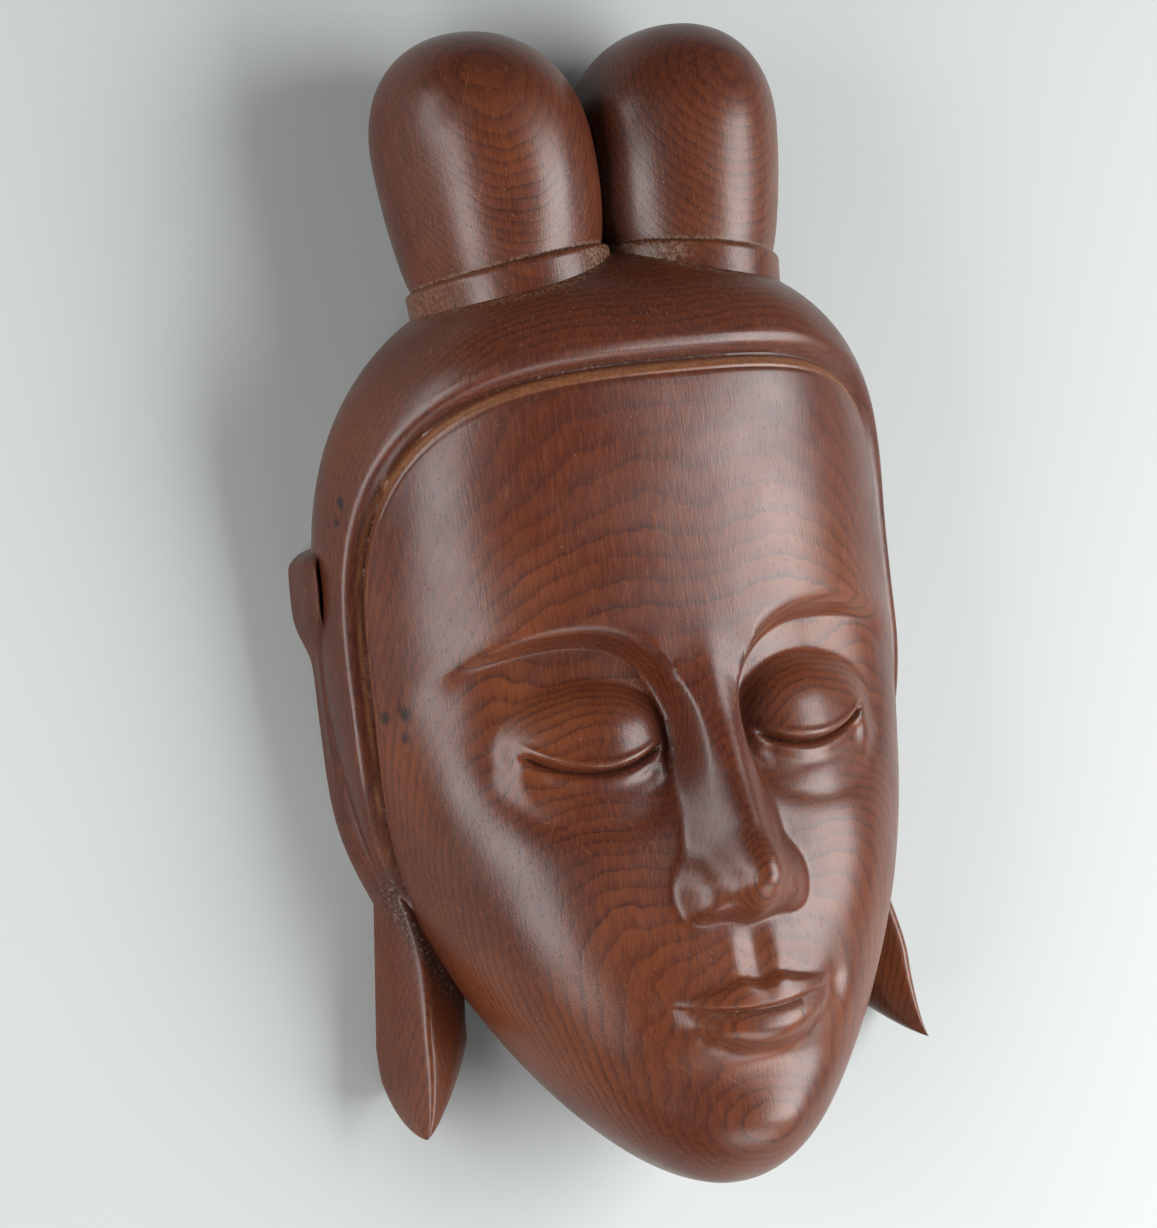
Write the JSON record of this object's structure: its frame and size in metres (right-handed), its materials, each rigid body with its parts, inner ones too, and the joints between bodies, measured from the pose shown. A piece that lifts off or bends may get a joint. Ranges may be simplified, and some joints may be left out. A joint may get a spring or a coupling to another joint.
{
  "type": "carved wooden face mask",
  "caption": "Carved hardwood mask of a serene face with closed eyes, a smooth hair cap, round topknots, long pointed ears and a hollowed back.",
  "frame": {"origin": "middle of the outline on the flat back plane, which is Z = 0", "axes": "+Z out of the face, +Y from the chin to the crown, +X to the viewer's right, so the mask lies on its back"},
  "size_m": [0.0984, 0.1732, 0.0502],
  "materials": {
    "wood": "polished"
  },
  "bodies": {
    "root": {"mask": "wood"}
  },
  "joints": []
}
